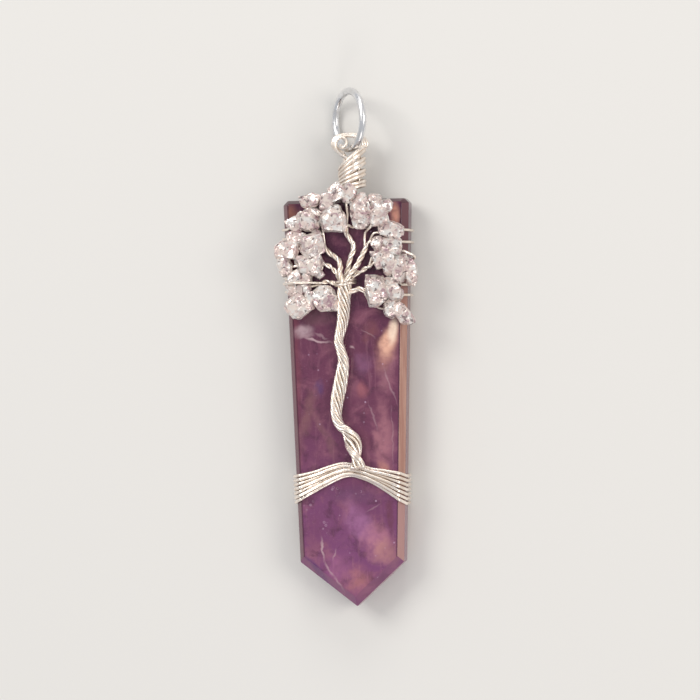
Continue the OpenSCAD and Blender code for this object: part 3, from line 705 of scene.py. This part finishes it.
def new_group(name, inputs, outputs, kind="ShaderNodeTree"):
    """An empty node group, what it is given and what it gives."""
    group = bpy.data.node_groups.new(name, kind)
    for way, rows in (("INPUT", inputs), ("OUTPUT", outputs)):
        for label, value, *default in rows:
            socket = group.interface.new_socket(label, in_out=way, socket_type="NodeSocket" + value)
            if default:
                socket.default_value = default[0]
    return group, group.nodes.new("NodeGroupInput").outputs, group.nodes.new("NodeGroupOutput").inputs


def in_group(name, inputs, builder):
    """Places a shader node group, built the first time."""
    group = bpy.data.node_groups.get(name) or builder(name)
    return put(inputs["Place"].id_data, "ShaderNodeGroup", inputs, node_tree=group).outputs


def build_soft_spot(name):
    """A mask of a wobbly ellipsoid that fades out at its edge."""
    group, given, result = new_group(name, [
        ("Place", "Vector"), ("Middle", "Vector"), ("Half size", "Vector", (1, 1, 1)),
        ("Turn", "Vector"), ("Wobble", "Float", 1),
    ], [("Mask", "Float"), ("Local", "Vector")])
    wave_scale, wave_reach, inner, outer = 0.45, 4, 0.25, 1.15
    wave = vector_calc("SUBTRACT", noise(given["Place"], wave_scale, output="Color"), HALVES)
    reach = calc("MULTIPLY", given["Wobble"], wave_reach)
    moved = vector_calc("MULTIPLY_ADD", wave, reach, given["Place"])
    local = vector_calc("SUBTRACT", moved, given["Middle"])
    turned = put(group, "ShaderNodeVectorRotate", {"Vector": local, "Rotation": given["Turn"]},
                 rotation_type="EULER_XYZ").outputs[0]
    share = vector_calc("DIVIDE", turned, given["Half size"])
    far = put(group, "ShaderNodeVectorMath", {0: share}, operation="LENGTH").outputs["Value"]
    feed(result["Mask"], ramp(far, inner, outer, 1, 0))
    feed(result["Local"], turned)
    return group


def soft_spot(place, depth, x, y, across, along, wobble, turn=0):
    """Places a soft spot in the stone, turned by some degrees."""
    return in_group("Soft spot", {
        "Place": place, "Middle": (x, y, SPOT_Z), "Half size": (across, along, depth), "Wobble": wobble,
        "Turn": (0, 0, math.radians(-turn)),
    }, build_soft_spot)


def build_fine_wear(name):
    """Fine scratches and dull patches, as a mask and a height."""
    group, given, result = new_group(name, [
        ("Place", "Vector"), ("Patch scale", "Float", 0.5), ("Grain scale", "Float", 20),
    ], [("Patches", "Float"), ("Height", "Float")])
    patches = noise(given["Place"], given["Patch scale"], detail=4, rough=0.6)
    feed(result["Patches"], ramp(patches, low=0.35, high=0.7))
    feed(result["Height"], noise(given["Place"], given["Grain scale"], detail=2, rough=0.6))
    return group


def worn(shader, place, patch_scale, grain_scale, rough, strength):
    """Gives a finish rougher patches and a fine grain. Returns the patches."""
    grain_depth = 0.02 * MM
    wear = in_group("Fine wear", {
        "Place": place, "Patch scale": patch_scale, "Grain scale": grain_scale}, build_fine_wear)
    feed(shader["Roughness"], ramp(wear["Patches"], 0, 1, *rough))
    feed(shader["Normal"], put(place.id_data, "ShaderNodeBump", {
        "Height": wear["Height"], "Strength": strength, "Distance": grain_depth}).outputs[0])
    return wear["Patches"]


def new_material(name, plain):
    """A material, its tree and its shader's inputs, some with plain values."""
    material = bpy.data.materials.new(name)
    material.use_nodes = True
    shader = material.node_tree.nodes["Principled BSDF"].inputs
    for key, value in plain.items():
        shader[key].default_value = value
    return material, material.node_tree, shader


def feathers(place):
    """Mask of the thin bright cracks in the stone."""
    wobble, wave_height, fade = 0.15, 0.9, 4
    wave = calc("MULTIPLY", calc("SUBTRACT", noise(place, scale=0.8), 0.5), wave_height)
    masks = []
    for x, y, across, along, turn, thin, strength in FEATHERS:
        spot = soft_spot(place, FEATHER_DEPTH, x, y, across, along, wobble, turn)
        off = parts(spot["Local"])["Y" if across >= along else "X"]
        line = ramp(calc("ABSOLUTE", calc("ADD", off, wave)), thin, thin * fade, strength, 0)
        masks.append(calc("MULTIPLY", spot["Mask"], line))
    return largest(masks)


def bubbles(place):
    """Mask of the clusters of tiny bubbles."""
    radius, wobble, rim, strength = 0.24, 0.3, (0.02, 0.12), 0.4
    off_rim = calc("ABSOLUTE", calc("SUBTRACT", cells(place, scale=1.5, spread=0.9)["Distance"], radius))
    clusters = largest([soft_spot(place, FEATHER_DEPTH, *row, wobble)["Mask"] for row in BUBBLES])
    return calc("MULTIPLY", ramp(off_rim, *rim, strength, 0), clusters)


def specks(place):
    """Mask of pale specks in some of the cells."""
    rim, strength, chosen = (0.04, 0.15), 0.6, (0.6, 0.9)
    found = cells(place, scale=0.8, spread=1)
    near = ramp(found["Distance"], *rim, strength, 0)
    return calc("MULTIPLY", near, ramp(picked(found["Color"], 0), *chosen))


def painted_bevel_light(place, colour):
    """Painted light and shade by the way the bevels face: a painted reflection on the right strip, painted
    shade and light on the others, and painted shade lines along their inner edges.
    """
    line_inside, line_width, line_share = 0.08, (0.04, 0.16), 0.65
    upright, steep, steep_share, lying = (0.55, 0.65), (0.93, 0.98), 0.75, (0.9, 0.99)
    lean = put(place.id_data, "ShaderNodeAttribute", attribute_name="face_lean").outputs["Vector"]
    lean, spot = parts(lean), parts(place)
    strip = cloudy(place, bpy.context.scene.pendant_stone.painted_reflection_strip_colour, STRIP_STREAKS)
    for span, share, tone in STRIP_PAINTED_REFLECTION_TONES:
        strip = tint(strip, tone, spot["Y"], *span, share)
    strip = tint(strip, colour, lean["X"], *steep, steep_share)
    colour = tint(colour, strip, lean["X"], *upright)
    for axis, span, share, tone in BEVEL_PAINTED_LIGHT_AND_SHADE:
        colour = tint(colour, tone, lean[axis], *span, share)
    widening = (half_width(STONE_TOP_Y) - half_width(SHOULDER_Y)) / (STONE_TOP_Y - SHOULDER_Y)
    edge = calc("MULTIPLY_ADD", spot["Y"], widening, half_width(0) - SIDE_BEVEL - line_inside)
    away = calc("ABSOLUTE", calc("SUBTRACT", calc("ABSOLUTE", spot["X"]), edge))
    # Painted shade lines along the inner edges of the bevels
    line = calc("MULTIPLY", ramp(away, *line_width, line_share, 0), ramp(lean["Z"], *lying))
    return blend(line, colour, PAINTED_EDGE_SHADE)


def amethyst():
    """Polished amethyst with clouds, soft tone patches and painted reflections, feathers, bubbles and
    specks, and painted light and shade on the bevels.
    """
    look = bpy.context.scene.pendant_stone
    to_middle, to_top, ripple_length, polish = (-30, -6), (-4, 14), 16, (0.1, 0.22)
    material, tree, shader = new_material("polished_amethyst", {
        "IOR": 1.54, "Specular IOR Level": 0.2, "Transmission Weight": 0.08, "Coat Weight": 0.12,
        "Coat Roughness": 0.04,
    })
    place = millimetres(tree)
    ripple = calc("SUBTRACT", noise(place, scale=0.16, rough=0.55), 0.5)
    along = calc("MULTIPLY_ADD", ripple, ripple_length, parts(place)["Y"])
    colour = tint(look.tip_colour, look.middle_colour, along, *to_middle)
    colour = tint(colour, look.top_colour, along, *to_top)
    colour = cloudy(place, colour, STONE_CLOUDS)
    smoke = ramp(noise(place, scale=0.9, detail=4, rough=0.6), low=0.25, high=0.65, to_low=0.55)
    # Soft patches: stone tones, and warm painted reflections of a warm surface seen through the stone
    for *spot, strength, tone_and_reflection in TONE_PATCHES_AND_PAINTED_REFLECTIONS:
        share = calc("MULTIPLY", soft_spot(place, PATCH_DEPTH, *spot)["Mask"], smoke)
        colour = blend(calc("MULTIPLY", share, strength), colour, tone_and_reflection)
    colour = blend(feathers(place), colour, FEATHER_TONE)
    colour = blend(bubbles(place), colour, BUBBLE_TONE)
    colour = cloudy(place, colour, STONE_FLECKS)
    colour = blend(specks(place), colour, SPECK_TONE)
    # The bevels get a painted reflection on the right and painted shade on the others
    feed(shader["Base Color"], painted_bevel_light(place, colour))
    worn(shader, place, patch_scale=0.35, grain_scale=9, rough=polish, strength=0.05)
    return material


def drawn_wire(name, colour, dull, rough, metal):
    """Drawn silver wire with a fine grain and a little tarnish."""
    tarnish, rougher = 0.55, 0.16
    material, tree, shader = new_material(name, {"Metallic": metal})
    patches = worn(shader, millimetres(tree), patch_scale=0.9, grain_scale=14,
                   rough=(rough, rough + rougher), strength=0.06)
    feed(shader["Base Color"], blend(calc("MULTIPLY", patches, tarnish), colour, dull))
    return material


def silver():
    """The finish of the fine wire, made once."""
    look = bpy.context.scene.pendant_wire
    found = bpy.data.materials.get("drawn_silver")
    return found or drawn_wire("drawn_silver", look.colour, dull=(0.7, 0.57, 0.45), rough=0.26, metal=0.88)


def quartz():
    """Clear to milky quartz with facets and dark windows, and a painted sheen on its rims."""
    look = bpy.context.scene.pendant_chips
    bend, facet_scale, facet_strength, facet_depth = (0.9, 0.9, 0.9), 1.5, 0.75, 0.5 * MM
    milk_rough, least_rough = 0.08, 0.09
    material, tree, shader = new_material("milky_quartz", {
        "IOR": 1.54, "Metallic": 0.16, "Transmission Weight": 0.34, "Coat Weight": 0.4,
        "Coat Roughness": 0.04,
    })
    place = millimetres(tree)
    shift = noise(place, scale=1.3, detail=2, output="Color")
    bent = vector_calc("MULTIPLY_ADD", shift, bend, place)
    milk = ramp(noise(place, scale=0.7, detail=4, rough=0.6, twist=0.6), low=0.38, high=0.62)
    facet = cells(bent, facet_scale, 1)["Color"]
    colour = blend(milk, look.clear, look.milk)
    colour = tint(colour, look.dark, picked(facet, 1), low=0.55, high=1, share=0.6)
    colour = cloudy(bent, colour, QUARTZ_VEINS)
    # A painted sheen that lightens the rims where the surface turns away
    rim = put(tree, "ShaderNodeLayerWeight", {"Blend": 0.35}).outputs["Facing"]
    feed(shader["Base Color"], tint(colour, PAINTED_RIM_SHEEN, rim, low=0.35, high=0.85, share=0.7))
    feed(shader["Roughness"], calc("MULTIPLY_ADD", milk, milk_rough, least_rough))
    lean = vector_calc("SUBTRACT", facet, HALVES)
    slope = put(tree, "ShaderNodeVectorMath", {0: bent, 1: lean}, operation="DOT_PRODUCT").outputs["Value"]
    facets = put(tree, "ShaderNodeBump", {
        "Height": slope, "Strength": facet_strength, "Distance": facet_depth}).outputs[0]
    feed(shader["Normal"], facets)
    feed(shader["Coat Normal"], facets)
    return material


def build_round_wire(name):
    """Geometry nodes that turn paths into round wire with rounded bends."""
    group, given, result = new_group(name, [
        ("Paths", "Geometry"), ("Thickness", "Float", 0.0004), ("Bend radius", "Float", 0.0005),
        ("Bend steps", "Int", 5), ("Sides", "Int", 10), ("Finish", "Material"),
    ], [("Wire", "Geometry")], "GeometryNodeTree")
    profile = put(group, "GeometryNodeCurvePrimitiveCircle", {
        "Resolution": given["Sides"], "Radius": calc("MULTIPLY", given["Thickness"], 0.5)}, mode="RADIUS")
    bend = {"Count": given["Bend steps"], "Radius": given["Bend radius"], "Limit Radius": True}
    wire = given["Paths"]
    for kind, inputs, settings in (
        ("GeometryNodeMeshToCurve", {}, {}),
        ("GeometryNodeFilletCurve", bend, {"mode": "POLY"}),
        ("GeometryNodeCurveToMesh", {"Profile Curve": profile.outputs[0], "Fill Caps": True}, {}),
        ("GeometryNodeSetShadeSmooth", {}, {}),
        ("GeometryNodeRealizeInstances", {}, {}),
        ("GeometryNodeSetMaterial", {"Material": given["Finish"]}, {}),
    ):
        wire = put(group, kind, {0: wire, **inputs}, **settings).outputs[0]
    feed(result[0], wire)
    group.is_modifier = True
    return group


def add_object(name, data):
    """A new object in the scene."""
    obj = bpy.data.objects.new(name, data)
    bpy.context.collection.objects.link(obj)
    return obj


def settle(obj):
    """Turns what the modifiers give into a plain mesh."""
    ready = obj.evaluated_get(bpy.context.evaluated_depsgraph_get())
    mesh = bpy.data.meshes.new_from_object(ready)
    if not mesh.polygons:
        raise RuntimeError(obj.name + " came out empty")
    obj.modifiers.clear()
    obj.data = mesh
    mesh.name = obj.name


def wire_piece(name, node, routes, thick="thickness", steps=None, finish=None):
    """A piece of round wire along some routes, which stands for a node."""
    look = bpy.context.scene.pendant_wire
    points, edges = [], []
    for route in routes:
        first = len(points)
        points += [p * MM for p in route]
        edges += [(i, i + 1) for i in range(first, len(points) - 1)]
    mesh = bpy.data.meshes.new(name)
    mesh.from_pydata(points, edges, [])
    piece = add_object(name, mesh)
    modifier = piece.modifiers.new("Round wire", "NODES")
    modifier.node_group = bpy.data.node_groups.get("Round wire") or build_round_wire("Round wire")
    values = {"Thickness": getattr(look, thick), "Bend radius": look.bend, "Finish": finish or silver(),
              **(steps or {})}
    for socket in modifier.node_group.interface.items_tree:
        if socket.name in values and socket.in_out == "INPUT":
            modifier[socket.identifier] = values[socket.name]
    settle(piece)
    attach(piece, BODY)
    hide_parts(node)


def merged_copy(name, node):
    """A copy of a CAD node's mesh with its corners joined."""
    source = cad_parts[node]
    mesh = source.data.copy()
    mesh.transform(source.matrix_world)
    shape = bmesh.new()
    shape.from_mesh(mesh)
    bmesh.ops.remove_doubles(shape, verts=shape.verts, dist=0.002 * MM)
    bmesh.ops.dissolve_limit(shape, angle_limit=math.radians(1), verts=shape.verts, edges=shape.edges)
    bmesh.ops.recalc_face_normals(shape, faces=shape.faces)
    shape.to_mesh(mesh)
    shape.free()
    mesh.materials.clear()
    return add_object(name, mesh)


def worn_edges(piece, width, least_turn):
    """Rounds the edges that turn by more than some degrees."""
    bevel = piece.modifiers.new("Worn edges", "BEVEL")
    bevel.width = width
    bevel.segments = 2
    bevel.limit_method = "ANGLE"
    bevel.angle_limit = math.radians(least_turn)


def cut_corners(shape, middle, chance):
    """Cuts some corners of a closed shape off."""
    cuts, least, most = 12, 0.68, 0.9
    for k in range(cuts):
        way = Vector([chance.gauss(0, 1) for axis in range(3)]).normalized()
        reach = max((corner.co - middle).dot(way) for corner in shape.verts)
        cut = bmesh.ops.bisect_plane(
            shape, geom=shape.verts[:] + shape.edges[:] + shape.faces[:],
            plane_co=middle + chance.uniform(least, most) * reach * way, plane_no=way, clear_outer=True)
        rim = [part for part in cut["geom_cut"] if isinstance(part, bmesh.types.BMEdge)]
        bmesh.ops.edgeloop_fill(shape, edges=rim)


def keep_hull(shape):
    """Leaves only the outer hull of a shape."""
    hull = bmesh.ops.convex_hull(shape, input=shape.verts)
    kept = set(hull["geom"])
    bmesh.ops.delete(shape, geom=hull["geom_interior"] + hull["geom_unused"], context="VERTS")
    bmesh.ops.delete(shape, geom=[face for face in shape.faces if face not in kept], context="FACES_ONLY")


def lump_surface(mesh, height):
    """Gives a mesh low uneven lumps."""
    width, rough, finer, layers = MM, 0.8, 2, 3
    places = [
        corner.co + height * fractal(corner.co / width, rough, finer, layers) * corner.normal
        for corner in mesh.vertices
    ]
    for corner, place in zip(mesh.vertices, places):
        corner.co = place


def tumbled(node, chance):
    """An uneven chip with worn edges that fills the place of a drilled one."""
    look = bpy.context.scene.pendant_chips
    flat, least_turn, fineness = 6, 8, 2
    piece = merged_copy(node.replace("chip_", "quartz_"), node)
    shape = bmesh.new()
    shape.from_mesh(piece.data)
    keep_hull(shape)
    middle = sum((corner.co for corner in shape.verts), Vector()) / len(shape.verts)
    swell = Vector((look.swell, look.swell, look.swell_up))
    for corner in shape.verts:
        corner.co = middle + swell * (corner.co - middle)
    cut_corners(shape, middle, chance)
    bmesh.ops.remove_doubles(shape, verts=shape.verts, dist=0.05 * MM)
    bmesh.ops.dissolve_limit(shape, angle_limit=math.radians(flat), verts=shape.verts, edges=shape.edges)
    bmesh.ops.triangulate(shape, faces=shape.faces)
    bmesh.ops.recalc_face_normals(shape, faces=shape.faces)
    shape.to_mesh(piece.data)
    shape.free()
    worn_edges(piece, look.edge, least_turn)
    finer = piece.modifiers.new("Finer", "SUBSURF")
    finer.levels = finer.render_levels = fineness
    settle(piece)
    lump_surface(piece.data, look.lumps)
    piece.data.shade_smooth()
    return piece


def aim_camera(scene):
    """Sets the camera at the photo's angle."""
    look = scene.pendant_stage
    target = Vector((-0.025, -0.466, 3.1)) * MM
    picture_height, sensor, near = 95.9 * MM, 36, 0.01
    data = bpy.data.cameras.new("camera")
    data.sensor_width = sensor
    data.lens = sensor * look.distance / picture_height
    data.clip_start = near
    camera = add_object("camera", data)
    turn = Matrix.Rotation(look.tilt, 4, "Y") @ Matrix.Rotation(-look.roll, 4, "Z")
    camera.matrix_world = Matrix.Translation(target) @ turn @ Matrix.Translation((0, 0, look.distance))
    scene.camera = camera


def light_studio(scene):
    """Sets the soft lights and the pale surroundings."""
    for name, place, width, power, colour in LIGHTS:
        lamp = bpy.data.lights.new(name, "AREA")
        lamp.shape = "DISK"
        lamp.size = width
        lamp.energy = power
        lamp.color = colour
        obj = add_object(name, lamp)
        obj.location = place
        obj.rotation_euler = (-Vector(place)).to_track_quat("-Z", "Y").to_euler()
    world = bpy.data.worlds.new("studio")
    world.use_nodes = True
    surroundings = world.node_tree.nodes["Background"]
    surroundings.inputs["Color"].default_value = (0.8, 0.81, 0.84, 1)
    surroundings.inputs["Strength"].default_value = 0.66
    scene.world = world
    scene.view_settings.view_transform = "Standard"


class PENDANT_OT_stage(Operator):
    """Sets the floor, the studio lights and the camera"""

    bl_idname = "pendant.stage"
    bl_label = "Stage"

    def execute(self, context):
        size = 3
        paint = {"Base Color": (*context.scene.pendant_stage.floor, 1), "Roughness": 0.8}
        mesh = bpy.data.meshes.new("floor")
        mesh.from_pydata([(-size, -size, 0), (size, -size, 0), (size, size, 0), (-size, size, 0)], [],
                         [(0, 1, 2, 3)])
        mesh.materials.append(new_material("pale_floor", paint)[0])
        add_object("floor", mesh)
        aim_camera(context.scene)
        light_studio(context.scene)
        return {"FINISHED"}


class PENDANT_OT_stone(Operator):
    """Builds the polished stone"""

    bl_idname = "pendant.stone"
    bl_label = "Stone"

    def execute(self, context):
        least_turn, strongest = 12, 100
        piece = merged_copy("stone", "crystal_point")
        lean = piece.data.attributes.new("face_lean", "FLOAT_VECTOR", "FACE")
        for face in piece.data.polygons:
            lean.data[face.index].vector = face.normal
        worn_edges(piece, context.scene.pendant_stone.edge, least_turn)
        piece.data.shade_smooth()
        piece.modifiers.new("Flat faces", "WEIGHTED_NORMAL").weight = strongest
        settle(piece)
        piece.data.materials.append(amethyst())
        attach(piece, BODY)
        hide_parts("crystal_point")
        return {"FINISHED"}


class PENDANT_OT_trunk(Operator):
    """Builds the rope of the trunk and the binding over its top"""

    bl_idname = "pendant.trunk"
    bl_label = "Trunk"

    def execute(self, context):
        wire_piece("trunk_strands", "trunk", trunk_routes(), steps={"Bend steps": 2})
        wire_piece("crown_binding", "crown_wrap", crown_routes())
        return {"FINISHED"}


class PENDANT_OT_roots(Operator):
    """Builds the root band and the wires up the back"""

    bl_idname = "pendant.roots"
    bl_label = "Roots"

    def execute(self, context):
        wire_piece("root_strands", "root_wires", root_routes(), "pressed_thickness")
        wire_piece("back_strands", "back_wires", back_routes())
        return {"FINISHED"}


class PENDANT_OT_branches(Operator):
    """Builds the seven branches with their twigs"""

    bl_idname = "pendant.branches"
    bl_label = "Branches"

    def execute(self, context):
        for name, *branch in BRANCHES:
            node = "branch_" + name
            wire_piece(node + "_strands", node, branch_routes(*branch), "twig_thickness")
        return {"FINISHED"}


class PENDANT_OT_chips(Operator):
    """Builds the quartz chips"""

    bl_idname = "pendant.chips"
    bl_label = "Chips"

    def execute(self, context):
        finish = quartz()
        nodes = sorted(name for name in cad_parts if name.startswith("chip_"))
        if not nodes:
            raise RuntimeError("the frame has no chips")
        chance = random.Random(context.scene.pendant_chips.seed)
        for node in nodes:
            piece = tumbled(node, chance)
            piece.data.materials.append(finish)
            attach(piece, BODY)
            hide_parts(node)
        return {"FINISHED"}


class PENDANT_OT_neck(Operator):
    """Builds the coil round the neck and the wire eye"""

    bl_idname = "pendant.neck"
    bl_label = "Neck and eye"

    def execute(self, context):
        wire_piece("neck_coil", "neck_wrap", neck_routes(), "coil_thickness")
        wire_piece("eye_strands", "bail_eye", eye_routes())
        return {"FINISHED"}


class PENDANT_OT_ring(Operator):
    """Builds the jump ring"""

    bl_idname = "pendant.ring"
    bl_label = "Jump ring"

    def execute(self, context):
        colour = context.scene.pendant_wire.ring_colour
        finish = drawn_wire("ring_silver", colour, dull=(0.6, 0.58, 0.56), rough=0.24, metal=1)
        wire_piece("round_ring", "jump_ring", [ring_route()], "ring_thickness", {"Sides": 24}, finish)
        return {"FINISHED"}


SETTINGS = {
    "pendant_stone": StoneSettings,
    "pendant_wire": WireSettings,
    "pendant_chips": ChipSettings,
    "pendant_stage": StageSettings,
}
OPERATORS = [
    PENDANT_OT_stage, PENDANT_OT_stone, PENDANT_OT_trunk, PENDANT_OT_roots, PENDANT_OT_branches,
    PENDANT_OT_chips, PENDANT_OT_neck, PENDANT_OT_ring,
]


class PENDANT_PT_panel(Panel):
    """Lists the settings and the pieces of the pendant"""

    bl_label = "Pendant"
    bl_idname = "PENDANT_PT_panel"
    bl_space_type = "VIEW_3D"
    bl_region_type = "UI"
    bl_category = "Pendant"

    def draw(self, context):
        for name, group in SETTINGS.items():
            box = self.layout.box()
            box.label(text=group.__doc__)
            for key in group.__annotations__:
                box.prop(getattr(context.scene, name), key)
        for operator in OPERATORS:
            self.layout.operator(operator.bl_idname)


CLASSES = [*SETTINGS.values(), *OPERATORS, PENDANT_PT_panel]


def register():
    """Adds the settings, the operators and the panel."""
    for each in CLASSES:
        bpy.utils.register_class(each)
    for name, settings in SETTINGS.items():
        setattr(Scene, name, PointerProperty(type=settings))


def unregister():
    """Takes them out again."""
    for name in SETTINGS:
        delattr(Scene, name)
    for each in reversed(CLASSES):
        bpy.utils.unregister_class(each)


def main():
    """Builds the whole pendant."""
    register()
    for operator in OPERATORS:
        getattr(bpy.ops.pendant, operator.bl_idname.split(".")[1])()


if __name__ == "__main__":
    main()
